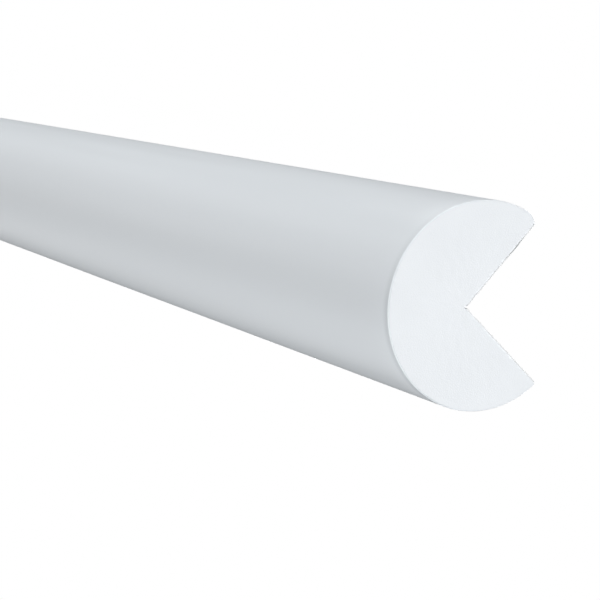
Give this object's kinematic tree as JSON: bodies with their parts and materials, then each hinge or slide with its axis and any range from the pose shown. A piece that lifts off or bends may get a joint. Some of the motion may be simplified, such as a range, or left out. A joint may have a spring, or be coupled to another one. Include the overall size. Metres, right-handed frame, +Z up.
{
  "type": "foam corner guard",
  "caption": "Soft white foam bar, round outside with a right-angle notch along it, taped onto a wall or machine corner so that knocks against the edge do no harm.",
  "frame": {"origin": "where the protected edge sits, at mid-length: the line in which the outer faces of the two tapes would meet", "axes": "+X along the bar, +Y out of the notch and into the thing that is protected, +Z up"},
  "size_m": [1, 0.0321, 0.04],
  "materials": {
    "foam": "matte",
    "skin": "satin",
    "adhesive": "gloss",
    "liner": "satin"
  },
  "bodies": {
    "profile": {"foam_core": "foam", "outer_skin": "skin", "upper_adhesive_tape": "adhesive", "lower_adhesive_tape": "adhesive"},
    "upper_liner": {"upper_release_liner": "liner"},
    "lower_liner": {"lower_release_liner": "liner"}
  },
  "joints": [
    {"name": "upper_liner_peel", "type": "slide", "parent": "profile", "child": "upper_liner", "axis": [0, 1, 0], "range_m": [0, 0.03]},
    {"name": "lower_liner_peel", "type": "slide", "parent": "profile", "child": "lower_liner", "axis": [0, 1, 0], "range_m": [0, 0.03]}
  ]
}
